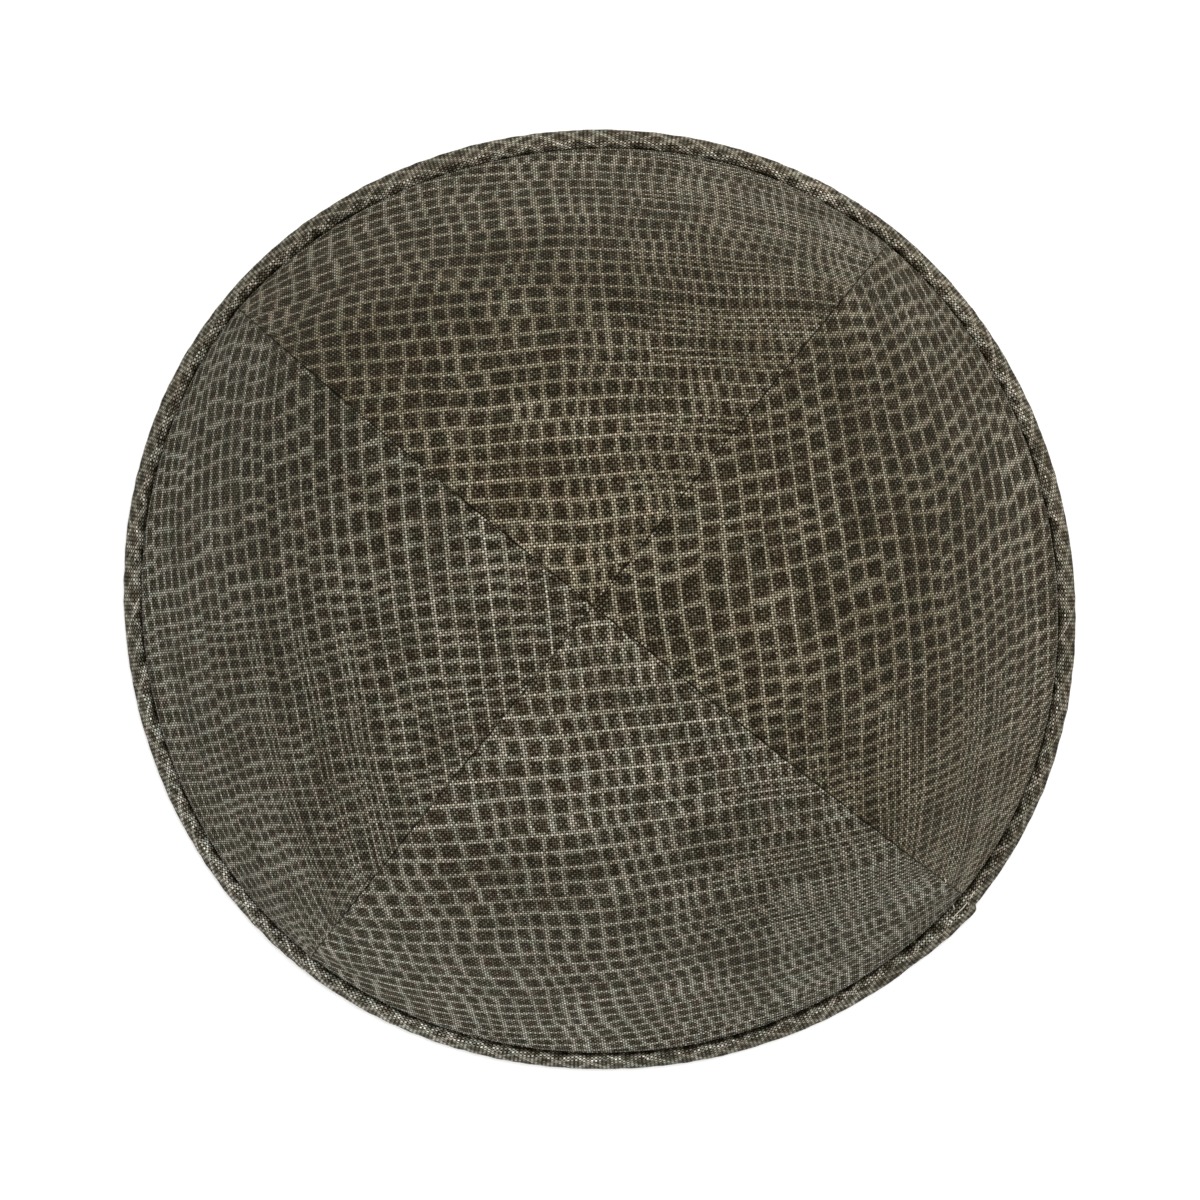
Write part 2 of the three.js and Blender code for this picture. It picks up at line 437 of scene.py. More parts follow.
def printNodes(n, weave, threads):
    # how much ink lies on each crossing of threads, and the cell that it belongs to
    cells, rows = n.parts(n.uv("print"))
    cellWidth = n.attribute("cellWidth")
    rowHeight = n.attribute("rowHeight")
    snapU = n.math("MULTIPLY", n.math("SUBTRACT", threads["shareU"], 0.5), cloth["threadAcross"])
    snapV = n.math("MULTIPLY", n.math("SUBTRACT", threads["shareV"], 0.5), cloth["threadDown"])
    rowPlace = n.math("SUBTRACT", rows, n.math("DIVIDE", snapV, rowHeight))
    for closeness, size in (cloth["rowWave"], cloth["rowRipple"]):
        rowPlace = n.math("MULTIPLY_ADD", n.noise(weave, closeness), size, rowPlace)
    rowCount = n.math("FLOOR", rowPlace)
    splits = n.math("LESS_THAN", n.random(n.pair(rowCount, 0.5)), n.attribute("splitRows"))
    splits = n.math("ADD", splits, 1.0)
    rowFine = n.math("MULTIPLY", n.math("FRACT", rowPlace), splits)
    rowCount = n.math("MULTIPLY_ADD", n.math("FLOOR", rowFine), 0.5, rowCount)
    rowShare = n.math("FRACT", rowFine)
    rowGap = n.math("SUBTRACT", 0.5, n.math("ABSOLUTE", n.math("SUBTRACT", rowShare, 0.5)))
    rowGap = n.math("MULTIPLY", rowGap, n.math("DIVIDE", rowHeight, splits))

    # The cross lines run on from row to row, wander, and step aside in places
    drift = rowNoise(n, threads, rowCount, cloth["cellDrift"])
    aside = rowNoise(n, threads, rowCount, cloth["cellStep"])
    closeness, waveSize = cloth["cellWave"]
    wavePlace = n.pair(n.math("ADD", threads["across"], cloth["waveShift"]), threads["down"])
    wave = n.noise(wavePlace, closeness)
    cellPlace = n.math("SUBTRACT", cells, n.math("DIVIDE", snapU, cellWidth))
    cellPlace = n.math("ADD", drift, cellPlace)
    cellPlace = n.math("ADD", aside, cellPlace)
    cellPlace = n.math("MULTIPLY_ADD", wave, waveSize, cellPlace)
    edges = n.cells(cellPlace, "DISTANCE_TO_EDGE", cloth["cellJitter"])
    spots = n.cells(cellPlace, "F1", cloth["cellJitter"])
    tone = n.random(n.pair(spots.outputs["W"], rowCount))

    # Pale lines, ragged by whole crossings. Those between the cells of a row are softer and fade in places
    closeness, inPatches, single = cloth["raggedLines"]
    ragged = n.math("MULTIPLY_ADD", n.noise(threads["crossing"], closeness), inPatches, -single / 2)
    ragged = n.math("MULTIPLY_ADD", threads["speck"], single, ragged)
    faintPlace = n.pair(n.math("ADD", threads["across"], cloth["faintShift"]), threads["down"])
    faint = n.noise(faintPlace, cloth["faintPatches"])
    narrower = n.math("MULTIPLY", n.attribute("dense"), cloth["denseLine"])
    rowGap = n.math("ADD", n.math("MULTIPLY_ADD", ragged, cloth["raggedRows"], rowGap), narrower)
    half, soft = cloth["rowLine"]
    rowInk = n.step(rowGap, half - soft, half + soft)
    cellGap = n.math("MULTIPLY", edges.outputs["Distance"], cellWidth)
    cellGap = n.math("ADD", n.math("ADD", cellGap, ragged), narrower)
    half, soft = cloth["crossLine"]
    cellGap = n.math("MULTIPLY_ADD", faint, cloth["crossFade"], cellGap)
    crossPale = n.math("SUBTRACT", 1.0, n.step(cellGap, half - soft, half + soft))
    strength = n.math("MULTIPLY_ADD", faint, -cloth["crossMiss"], cloth["crossStrength"], clamp=True)
    inked = n.math("MULTIPLY", rowInk, n.math("SUBTRACT", 1.0, n.math("MULTIPLY", crossPale, strength)))
    missed = n.math("MULTIPLY", n.math("POWER", threads["other"], 3.0), -cloth["inkMottle"])
    inked = n.math("MULTIPLY", inked, n.math("ADD", missed, 1.0))
    return inked, tone, rowNoise(n, threads, rowCount, cloth["rowTone"])


def makeClothFinish(name):
    # the weave map holds millimetres, and the print map counts cells across and rows down
    look = finishes[name]
    finish = bpy.data.materials.new(name)
    finish.use_nodes = True
    n = ClothNodes(finish.node_tree)
    weave = n.uv("weave")
    threads = weaveNodes(n, weave)
    inked, tone, rowTone = printNodes(n, weave, threads)

    # Ink that differs from cell to cell, on threads that take more or less of it
    closeness, browner = cloth["brownPatches"]
    mottle = n.noise(weave, closeness, 2.0)
    brownCell = n.math("MULTIPLY", tone, cloth["brownCells"])
    brown = n.math("MULTIPLY_ADD", mottle, browner, brownCell, clamp=True)
    inkColor = n.mixColor(brown, look["inkOlive"], look["inkBrown"])
    inkColor = n.mixColor(n.math("MULTIPLY", tone, cloth["darkCells"]), inkColor, look["ink"])
    base = n.mixColor(inked, look["pale"], inkColor)
    specklePaling = n.math("ADD", threads["speck"], cloth["evenPaling"])
    wearAndHighlight = n.math("MULTIPLY", n.attribute("wearAndHighlight"), specklePaling, clamp=True)
    # wear, and painted highlights on the panels' lips and the binding's ridge, pale the ink
    base = n.mixColor(wearAndHighlight, base, look["pale"])
    closeness, strength = cloth["huePatches"]
    hue = n.noise(threads["crossing"], closeness, 2.0)
    hue = n.math("MULTIPLY_ADD", hue, strength, 0.5, clamp=True)
    base = n.mixColor(1.0, base, n.mixColor(hue, cloth["greenish"], cloth["reddish"]), "MULTIPLY")
    faded = n.mixColor(n.attribute("warmth"), cloth["coolCloth"], cloth["warmCloth"])
    base = n.mixColor(1.0, base, faded, "MULTIPLY")

    # Light and shade of the threads, and of the folds
    contrast = n.math("MULTIPLY_ADD", inked, cloth["inkContrast"], 1.0)
    shade = n.math("POWER", n.math("MAXIMUM", threads["light"], 0.0), contrast)
    slub = threadNoise(n, threads, cloth["slubs"])
    streak = threadNoise(n, threads, cloth["streaks"])
    for unevenness in (slub, streak, rowTone):
        shade = n.math("MULTIPLY", shade, n.math("ADD", unevenness, 1.0))
    # the fold layer darkens the cloth with painted shade in the seams, the ditch and the puckers
    shade = n.math("MULTIPLY", shade, n.math("MULTIPLY_ADD", n.attribute("fold"), -look["foldShadeShare"], 1.0))
    # painted light and shade of edges, ridges and sides of the cap, with some tone
    shade = n.math("MULTIPLY", shade, n.math("ADD", 1.0, n.attribute("paintedLightAndTone")))
    warm = finish.node_tree.nodes.new("ShaderNodeCombineColor")
    shadow = n.math("MINIMUM", shade, cloth["warmUpTo"])
    for power, socket in zip(cloth["warmDepth"], warm.inputs):
        n.join(n.math("MULTIPLY", shade, n.math("POWER", shadow, power)), socket)
    color = n.mixColor(1.0, base, warm.outputs[0], "MULTIPLY")

    bare, printed = cloth["roughness"]
    roughness = n.math("MULTIPLY_ADD", inked, printed - bare, bare)
    shader = softShader(finish, n, color, roughness, cloth, threads["height"])
    shader.inputs["Specular IOR Level"].default_value = cloth["gloss"]
    shader.inputs["Sheen Roughness"].default_value = cloth["sheenRoughness"]
    shader.inputs["Sheen Tint"].default_value = cloth["sheenTint"]
    return finish


printedCloth = makeClothFinish("printedCloth")
wrongSide = makeClothFinish("wrongSide")
print("cloth finishes made")


def addThickness(piece, thickness):
    # the cloth's own thickness, inward, with its wrong side inside
    piece.data.materials.append(printedCloth)
    piece.data.materials.append(wrongSide)
    thick = piece.modifiers.new("thickness", "SOLIDIFY")
    thick.thickness = thickness
    thick.offset = -1
    thick.material_offset = 1
    thick.material_offset_rim = 0


# The binding as it shows from above, which also settles where the panels end
shownEdge = {
    "width": 2.98 * mm,
    "wideSpots": [  # angle, how much wider, and how far that spreads in degrees
        (36, 0.4 * mm, 22),
        (117, 0.95 * mm, 37),
        (303, 0.6 * mm, 15),
    ],
    "stitchCount": 165,
}


def shownWidth(angle):
    width = shownEdge["width"]
    for middle, wider, spread in shownEdge["wideSpots"]:
        off = (math.degrees(angle) - middle + 180) % 360 - 180
        width += wider * math.exp(-(off / spread) ** 2)
    return width


def panelEnd(angle):
    # length down the meridian from the crown to a panel's lower edge
    return meridianLength - (shownWidth(angle) - cap["bindingReach"]) / cosSkirt


def onCurve(points, share):
    # a place on the smooth curve through a few points, by its share of the way
    place = share * (len(points) - 1)
    i = min(int(place), len(points) - 2)
    t = place - i
    p = [Vector(points[max(min(k, len(points) - 1), 0)]) for k in (i - 1, i, i + 1, i + 2)]
    curve = 2 * p[1] + (p[2] - p[0]) * t
    curve += (2 * p[0] - 5 * p[1] + 4 * p[2] - p[3]) * t ** 2
    curve += (3 * p[1] - p[0] - 3 * p[2] + p[3]) * t ** 3
    return curve / 2


def ringNoise(angle, waves, seed):
    # noise that closes up round the rim
    return noise.noise(Vector((math.cos(angle) * waves, math.sin(angle) * waves, seed)))


def dimple(angle):
    # how deep the cloth is pulled in by the stitches round the rim, from 0 to 1
    wave = math.cos(angle * shownEdge["stitchCount"] + ringNoise(angle, 30, 5.2) * 2.4)
    return smoothStep(wave, -0.2, 0.9)


# Panels: each is a grid bent over its quarter of the dome
panels = {
    "columns": 120,
    "rows": 200,
    "thickness": 1.1 * mm,
    "edgeCrowd": 1.45,  # how much closer the columns lie near the seams
    "rowCrowd": 1.3,  # and the rows near the lower edge
    "seamRoll": 0.22 * mm,  # width of cloth that turns down into a seam
    "seamDip": 0.36 * mm,
    "seamStitch": 2.2 * mm,
    "betweenStitches": (0.75, 0.88),  # how much of a seam's depth and painted shade is left between two stitches
    "flatterSeams": (0.5, 0.5, 0.9),  # by what share they are flatter, with fainter painted shade, near the rim, and where that grows
    "brokenSeams": (0.85, 1.1),  # a seam's painted shade comes and goes between these
    "ditchRoll": 0.32 * mm,
    "ditchDip": 0.6 * mm,
    "ditchDepth": (0.8, 1.1),  # share of that depth between the rim's stitches, and at them
    # painted shade in the fold at the lower edge, between the rim's stitches and at them
    "paintedDitchShade": (0.3, 0.65),
    # a painted highlight that pales the ink along the crest just above the lower edge
    "paintedLipHighlight": 0.7,
    "allowanceLift": 0.28 * mm,  # swelling over the cloth turned in at the lower edge
    "waviness": 0.16 * mm,
    "seamAllowance": 6 * mm,
    "crossSag": 7.0e-5,  # how fast the cross threads sag towards the seams
    "halfCloth": 62,  # millimetres from a panel's middle to its lower corners, along the cloth
    "slantLength": 75,  # millimetres down from the crown, where the cross lines slant in full
    "crowdFrom": 74,  # millimetres down from the crown, from where the rows lie closer and closer
    "countMargin": 18,
    "splitShare": 0.4,  # of the rows that split in two where the cells are smallest
    "denseBelow": (2.0, 2.8),  # cell widths between which the lines get narrower
    "splitBelow": (1.9, 2.4),  # and between which rows begin to split
    "paintedShoulderShade": (-0.30, 0.6, 0.26),  # painted shade, darkest part way down: how dark, where, how far round
    "paintedEdgeSheen": 0.1,  # and lighter, as painted sheen, over its last millimetres, and as a painted highlight along its very edge
    "paintedLipLight": 0.4,
    "pieces": [  # values run from the clockwise to the anticlockwise side, seen from above
        # crownTone and rimTone make each side lighter or darker: partly painted light, such as the rim lit
        # from the floor, and partly tone
        {"name": "panelRight", "node": "panel_right", "turn": 0, "shift": (310.0, 40.0), "rowTilt": 4,
         "rowCrowding": 0.0, "paintedSeamShade": (0.95, 0.75), "crossSlant": 0.28, "warmth": (0.79, 0.52),
         "rowHeight": (3.3, 3.9), "cellWidth": (1.5, 3.5, 2.5, 27),
         "crownTone": (-0.08, -0.04), "rimTone": (0.02, 0.12)},
        {"name": "panelBack", "node": "panel_back", "turn": 90, "shift": (20.0, 17.0), "rowTilt": -2,
         "rowCrowding": 0.004, "paintedSeamShade": (0.75, 0.95), "crossSlant": -0.05, "warmth": (0.97, 0.36),
         "rowHeight": (3.0, 3.7), "cellWidth": (1.95, 2.55, 3.3, 12),
         "crownTone": (0.05, -0.08), "rimTone": (0.2, -0.1)},
        {"name": "panelLeft", "node": "panel_left", "turn": 180, "shift": (-160.0, 90.0), "rowTilt": 1,
         "rowCrowding": 0.004, "paintedSeamShade": (0.95, 0.4), "crossSlant": 0.12, "warmth": (0.42, 0.0),
         "rowHeight": (3.4, 2.9), "cellWidth": (3.5, 2.25, 2.05, 18),
         "crownTone": (-0.05, 0.05), "rimTone": (-0.04, 0.38)},
        {"name": "panelFront", "node": "panel_front", "turn": 270, "shift": (140.0, -75.0), "rowTilt": -3,
         "rowCrowding": 0.011, "paintedSeamShade": (0.4, 0.95), "crossSlant": 0.16, "warmth": (0.48, 0.0),
         "rowHeight": (3.8, 2.9), "cellWidth": (3.2, 2.5, 2.05, 12),
         "crownTone": (0.15, 0.25), "rimTone": (0.62, 0.16)},
    ],
}

# What the cloth finishes read: two maps, and values at every point
clothMaps = ("weave", "print")
# among them painted shade in the folds, painted highlights with the wear, and painted light with the tone
clothLayers = ("fold", "wearAndHighlight", "paintedLightAndTone", "warmth", "dense", "splitRows", "cellWidth", "rowHeight")


def gridShares(vert):
    # a grid point's share across the panel, from -1 to 1, and down it, closer together near the edges
    across = math.sin(vert.co.x * panels["edgeCrowd"]) / math.sin(panels["edgeCrowd"])
    down = 1 - ((1 + vert.co.y) / 2) ** panels["rowCrowd"]
    return across, down


def weavePlace(angle, along):
    # where a point of a panel lies on its flat cloth: millimetres across and down from the crown
    radius = meridian(along)[0] / mm
    x = radius * math.sin(angle)
    y = radius * math.cos(angle)
    middle = y
    for _ in range(4):
        middle = y + panels["crossSag"] * middle * x * x
    across = 0.0
    steps = 5
    last = None
    for i in range(steps + 1):
        px = x * i / steps
        py = middle - panels["crossSag"] * middle * px * px
        pz = meridian(alongAt(math.hypot(px, py) * mm))[1] / mm
        here = Vector((px, py, pz))
        if last is not None:
            across += (here - last).length
        last = here
    return math.copysign(across, x), alongAt(middle * mm) / mm


def panelGrid():
    shape = bmesh.new()
    bmesh.ops.create_grid(shape, x_segments=panels["columns"], y_segments=panels["rows"], size=1.0)
    shape.verts.ensure_lookup_table()
    return shape


def changing(pair, across):
    # a value that changes evenly over the cloth from its clockwise to its anticlockwise side
    return mix(*pair, (across / panels["halfCloth"] + 1) / 2)


def cellWidthAt(widths, across):
    # widths at the clockwise side, the middle and the anticlockwise side, and how far the middle reaches
    low, middle, high, reach = widths
    return mix(low if across < 0 else high, middle, math.exp(-(across / reach) ** 2))


def cellCounts(widths):
    # how many cells of the print there are up to each millimetre of a panel's cloth
    reach = panels["halfCloth"] + panels["countMargin"]
    counts = [0.0]
    for step in range(-reach, reach):
        counts.append(counts[-1] + 1 / cellWidthAt(widths, step + 0.5))
    return counts


def cellsAt(counts, across):
    place = across + panels["halfCloth"] + panels["countMargin"]
    i = min(max(int(place), 0), len(counts) - 2)
    return mix(counts[i], counts[i + 1], place - i)


def panelSpot(piece, vert):
    # where a grid point comes on its panel, and how far into the folds at the seams and the rim
    acrossShare, down = gridShares(vert)
    offMiddle = acrossShare * cap["seamAngle"]
    angle = math.radians(piece["turn"]) + offMiddle
    along = down * panelEnd(angle)
    across, flatDown = weavePlace(offMiddle, along)
    toSeam = (1 - abs(acrossShare)) * cap["seamAngle"] * meridian(along)[0]
    toDitch = panelEnd(angle) - along
    flatterBy, growsFrom, growsTo = panels["flatterSeams"]
    return {
        "acrossShare": acrossShare, "down": down,
        "angle": angle, "along": along,
        "across": across, "flatDown": flatDown,
        "toSeam": toSeam, "toDitch": toDitch,
        "seamFold": 1 - min(toSeam / panels["seamRoll"], 1),
        "ditchFold": 1 - min(toDitch / panels["ditchRoll"], 1),
        "flatter": 1 - flatterBy * smoothStep(down, growsFrom, growsTo),
        "stitched": 0.5 + 0.5 * math.cos(math.tau * along / panels["seamStitch"]),
        "pulled": dimple(angle),
    }


def roundedDip(fold):
    # how deep the cloth has turned into a fold, from 0 to 1, on a quarter circle
    return 1 - math.sqrt(1 - fold ** 2)


def panelLift(spot):
    # how far the cloth stands off the plain dome: rolls, swelling and slow waves
    lift = -panels["seamDip"] * mix(panels["betweenStitches"][0], 1, spot["stitched"])
    lift *= roundedDip(spot["seamFold"]) * spot["flatter"]
    lift -= panels["ditchDip"] * mix(*panels["ditchDepth"], spot["pulled"]) * roundedDip(spot["ditchFold"])
    toDitch = spot["toDitch"]
    swelling = smoothStep(toDitch, 0.4 * mm, 1.6 * mm) * (1 - smoothStep(toDitch, 3 * mm, 7 * mm))
    lift += panels["allowanceLift"] * swelling
    sway = noise.noise(Vector((math.cos(spot["angle"]), math.sin(spot["angle"]), spot["along"] * 12)) * 2.6)
    return lift + panels["waviness"] * sway * smoothStep(spot["toSeam"], 0, 6 * mm)


def panelFoldShade(piece, spot):
    # painted shade in the folds at the seams and at the lower edge, from 0 to 1
    broken = 0.5 + noise.noise(Vector((piece["turn"], spot["acrossShare"] * 3, spot["along"] / (7 * mm))))
    # each seam's painted shade, darker on one side of it than the other
    paintedSeamShade = piece["paintedSeamShade"][0 if spot["acrossShare"] < 0 else 1]
    paintedSeamShade *= mix(*panels["brokenSeams"], broken) * mix(panels["betweenStitches"][1], 1, spot["stitched"])
    paintedSeamShade *= smoothStep(spot["seamFold"], 0.5, 0.8) * spot["flatter"]
    paintedDitchShade = smoothStep(spot["ditchFold"], 0.75, 1.0) * mix(*panels["paintedDitchShade"], spot["pulled"])
    return max(paintedSeamShade, paintedDitchShade)


def panelLightAndTone(piece, spot):
    # painted light and shade, and tone: how much lighter the cloth is than its own colour
    across = spot["across"]
    tone = mix(changing(piece["crownTone"], across), changing(piece["rimTone"], across), spot["down"])
    shoulderShade, dimmest, reach = panels["paintedShoulderShade"]
    tone += shoulderShade * math.exp(-((spot["down"] - dimmest) / reach) ** 2)
    tone += panels["paintedEdgeSheen"] * (1 - smoothStep(spot["toDitch"], 1 * mm, 5 * mm))
    return tone + panels["paintedLipLight"] * (1 - smoothStep(spot["toDitch"], 0.2 * mm, 1.2 * mm))


def printPlace(piece, spot, counts):
    # cells across and rows down to a point of the print, and how wide and high a cell is there
    across = spot["across"]
    flatDown = spot["flatDown"]
    printAcross = across - piece["crossSlant"] * flatDown * flatDown / (2 * panels["slantLength"])
    rowHeight = changing(piece["rowHeight"], across)
    low = max(0.0, flatDown - panels["crowdFrom"])
    tilted = math.tan(math.radians(piece["rowTilt"])) * across
    rows = (flatDown + tilted + piece["rowCrowding"] * low * low) / rowHeight
    return cellsAt(counts, printAcross), rows, cellWidthAt(piece["cellWidth"], printAcross), rowHeight


def setLayers(vert, layers, values):
    for name, value in values.items():
        vert[layers[name]] = value


def mapCloth(shape, maps, places):
    # smooth faces, whose corners take their places on the weave and in the print
    for face in shape.faces:
        face.smooth = True
        for loop in face.loops:
            for clothMap, place in zip(maps, places[loop.vert.index]):
                loop[clothMap].uv = place


def makePanel(piece):
    shape = panelGrid()
    maps = [shape.loops.layers.uv.new(name) for name in clothMaps]
    layers = {name: shape.verts.layers.float.new(name) for name in clothLayers}
    shiftAcross, shiftDown = piece["shift"]
    counts = cellCounts(piece["cellWidth"])
    places = []
    for vert in shape.verts:
        spot = panelSpot(piece, vert)
        vert.co = capPoint(spot["angle"], spot["along"], panelLift(spot))
        cells, rows, cellWidth, rowHeight = printPlace(piece, spot, counts)
        toDitch = spot["toDitch"]
        # the crest just above the lower edge, which takes the painted highlight
        crest = smoothStep(toDitch, 0.05 * mm, 0.15 * mm) * (1 - smoothStep(toDitch, 0.35 * mm, 0.9 * mm))
        setLayers(vert, layers, {
            "fold": panelFoldShade(piece, spot),
            "wearAndHighlight": panels["paintedLipHighlight"] * crest,
            "paintedLightAndTone": panelLightAndTone(piece, spot),
            "warmth": mix(*piece["warmth"], spot["down"]),
            "dense": 1 - smoothStep(cellWidth, *panels["denseBelow"]),
            "splitRows": panels["splitShare"] * (1 - smoothStep(cellWidth, *panels["splitBelow"])),
            "cellWidth": cellWidth,
            "rowHeight": rowHeight,
        })
        onCloth = (spot["across"] + shiftAcross, spot["flatDown"] + shiftDown)
        places.append((onCloth, (cells + shiftAcross, rows + shiftDown)))
    mapCloth(shape, maps, places)
    bmesh.ops.remove_doubles(shape, verts=shape.verts, dist=1e-7)
    panel = finishMesh(piece["name"], shape)
    addThickness(panel, panels["thickness"])
    return panel, cutSize([onCloth for onCloth, inPrint in places])


def cutSize(places):
    # width, length and area of a panel as it is cut flat, with its seam allowances
    width = (max(place[0] for place in places) - min(place[0] for place in places)) * mm
    length = (max(place[1] for place in places) - min(place[1] for place in places)) * mm
    area = 0.0
    columns = panels["columns"] + 1
    for row in range(panels["rows"]):
        for column in range(panels["columns"]):
            corner = row * columns + column
            a = Vector(places[corner])
            b = Vector(places[corner + columns + 1])
            c = Vector(places[corner + 1])
            d = Vector(places[corner + columns])
            area += abs((b - a).cross(d - c)) / 2 * mm * mm
    allowance = panels["seamAllowance"]
    area += allowance * (width + 2 * math.hypot(width / 2, length))
    return width + 2 * allowance, length + 2 * allowance, area


for piece in panels["pieces"]:
    panel, (cutWidth, cutLength, cutArea) = makePanel(piece)
    print(piece["name"], "is cut", round(cutWidth, 4), "wide and", round(cutLength, 4), "long")
    print("  from", round(cutArea, 5), "square metres of cloth")
    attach(panel, "root")
    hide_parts(piece["node"])
print("panels made")

# Edge binding: a folded strip whose section runs from under the panels over a ledge and a ridge, down to
# the surface, and up inside the cap
binding = {
    "segments": 960,
    "sectionSteps": 50,
    "drawnWidth": 3.05,  # the shown width that the section below is drawn for
    "section": [  # out from the panels' outer face, and up the skirt, in millimetres
        (-1.50, 3.90), (-1.30, 3.30), (-0.90, 3.04), (-0.45, 3.10), (0.00, 3.24), (0.57, 3.46), (1.12, 3.66),
        (1.50, 3.70), (1.62, 3.42), (1.67, 2.67), (1.68, 1.77), (1.63, 0.85), (1.50, 0.16), (1.25, -0.28),
        (0.74, -0.42), (0.13, -0.08), (-0.9, 0.6), (-1.9, 1.25), (-2.3, 2.0), (-2.3, 3.4), (-2.25, 4.9),
    ],
    "ditchRow": 2,  # where in the section the strip meets the panels
    "ridgeRow": 7,
    "hemRow": 14,  # the lowest turn
    "thickness": 0.6 * mm,
    "joinAngle": math.radians(-45.0),
    "lap": math.radians(8),
    "proud": 0.9 * mm,
    "fade": 15 * mm,
    "endRound": 1.3 * mm,
    "pucker": 0.144 * mm,
    # painted shade in the hollows of the puckers
    "paintedPuckerShade": 0.2,
    "ridgeWave": 0.3 * mm,
    "stitchPull": 0.25 * mm,
    "ditchEnd": (4.2, 4.9, 5.2),  # row that the ditch's painted shade reaches: where shallow, deep, at the front
    # and how dark that painted shade is: where shallow, deep, at the front
    "paintedDitchShade": (0.6, 0.93, 0.97),
    "ditchSoft": 0.45,  # rows over which that painted shade fades, to either side
    "ditchFront": 34,  # degrees that the deeper painted shadow of the ditch at the front, away from the key light, spreads to either side
    "wornOver": 0.08,
    # a painted highlight that pales the ink along the ridge
    "paintedRidgeHighlight": 0.6,
    "paintedRidgeLight": (0.45, 1.0),  # the ridge's painted highlight, a pale line, where it is broken, and where it is whole
    "paintedBandLight": (0.12, 0.3),  # painted light next to the ridge, and further down
    "paintedLedgeLight": (1.6, 1.35),  # painted light next to the ridge, and next to the ditch
    # how much of the ledge's painted light the blotches take away
    "ledgeBlotch": 0.5,
    "warmth": (0.05, 0.27),  # the least, and how much more it is halfway to the light side
    "bias": math.radians(40),  # how far the strip is cut off the thread
    "cutPlace": (500, 300),  # where on the cloth it is cut, in millimetres
    "biasStretch": 0.88,  # of its length before it was sewn on
    "hiddenTurn": 1.4,  # millimetres of the strip sewn in under the panels
    "lightSide": math.radians(50),  # the strip is warmest here, and its painted light is lightest here and opposite
    # how much the painted light and shade differ round the rim
    "paintedSideLight": 0.2,
}
lastRow = len(binding["section"]) - 1
stripSweep = math.tau + binding["lap"]
stripStart = binding["joinAngle"] - binding["lap"]


def sectionRows():
    # the places in the table that the strip's rows of points take
    steps = binding["sectionSteps"]
    return [i / steps * lastRow for i in range(steps + 1)]


def raisedBy(angle):
    # how much further up the skirt than in the table the strip reaches, in millimetres
    return (shownWidth(angle) / mm - binding["drawnWidth"]) / cosSkirt


def sectionAt(angle):
    # the section at an angle about the axis, and the cloth from the ditch to each of its points
    wider = raisedBy(angle)
    points = []
    girths = [0.0]
    for row in sectionRows():
        raised = 1 - smoothStep(row, binding["ridgeRow"], binding["hemRow"])
        here = onCurve(binding["section"], row / lastRow) + Vector((0, wider * raised))
        if points:
            girths.append(girths[-1] + (here - points[-1]).length)
        points.append(here)
    return points, girths


def endLift(toEnd):
    # how far the strip's upper end stands out, this far from its tip
    rounding = math.sqrt(max(0.0, 1 - (1 - min(toEnd / binding["endRound"], 1)) ** 2))
    return binding["proud"] * max(0.0, 1 - toEnd / binding["fade"]) * rounding


def skirtPoint(angle, out, up):
    # a point by its place in the section: out from the panels' outer face, and up the skirt
    radius = skirtFoot + out * sinSkirt - up * cosSkirt
    height = max(out * cosSkirt + up * sinSkirt, 0.0)
    return axis + roundPoint(angle, radius, height)


def stripSpot(vert, rows, sections):
    # where a grid point comes on the strip, and which parts of its section it belongs to
    column = round((vert.co.x + 1) / 2 * binding["segments"])
    step = round((1 - vert.co.y) / 2 * binding["sectionSteps"])
    way = column / binding["segments"]
    row = rows[step]
    points, girths = sections[column]
    out, up = points[step] * mm
    angle = stripStart + way * stripSweep
    outside = 1 - smoothStep(row, binding["hemRow"], binding["hemRow"] + 3)
    onLedge = 1 - smoothStep(row, binding["ridgeRow"] - 1, binding["ridgeRow"])
    return {
        "row": row, "out": out, "up": up,
        "girth": girths[step], "angle": angle,
        "toEnd": (1 - way) * stripSweep * cap["rimRadius"],
        "offRidge": row - binding["ridgeRow"],
        "outside": outside,
        "onLedge": onLedge,
        "onBand": outside * (1 - onLedge),
        "nearDitch": 1 - smoothStep(row, binding["ditchRow"], binding["ditchRow"] + 3),
        "crimp": ringNoise(angle + up / cap["rimRadius"], 44, up * 160),  # puckers lie slanted on the strip
        "broken": smoothStep(ringNoise(angle, 40, 1.3), -0.3, 0.3),
        "pulled": dimple(angle),
    }


def stripMoved(spot):
    # a point's place in the section with the strip's raised end, puckers, uneven ridge and stitches
    fine = ringNoise(spot["angle"], 36, 7.7)
    slow = ringNoise(spot["angle"], 9, 3.1)
    ridge = math.exp(-(spot["offRidge"] / 1.1) ** 2)
    out = spot["out"] + endLift(spot["toEnd"]) * spot["outside"]
    out += binding["pucker"] * spot["crimp"] * spot["onBand"]
    out += binding["ridgeWave"] * fine * ridge
    out -= binding["stitchPull"] * spot["pulled"] * spot["nearDitch"]
    upperPart = smoothStep(spot["up"], 2 * mm, 3.5 * mm)
    return out, spot["up"] + binding["ridgeWave"] * (slow * 0.5 - fine) * spot["outside"] * upperPart


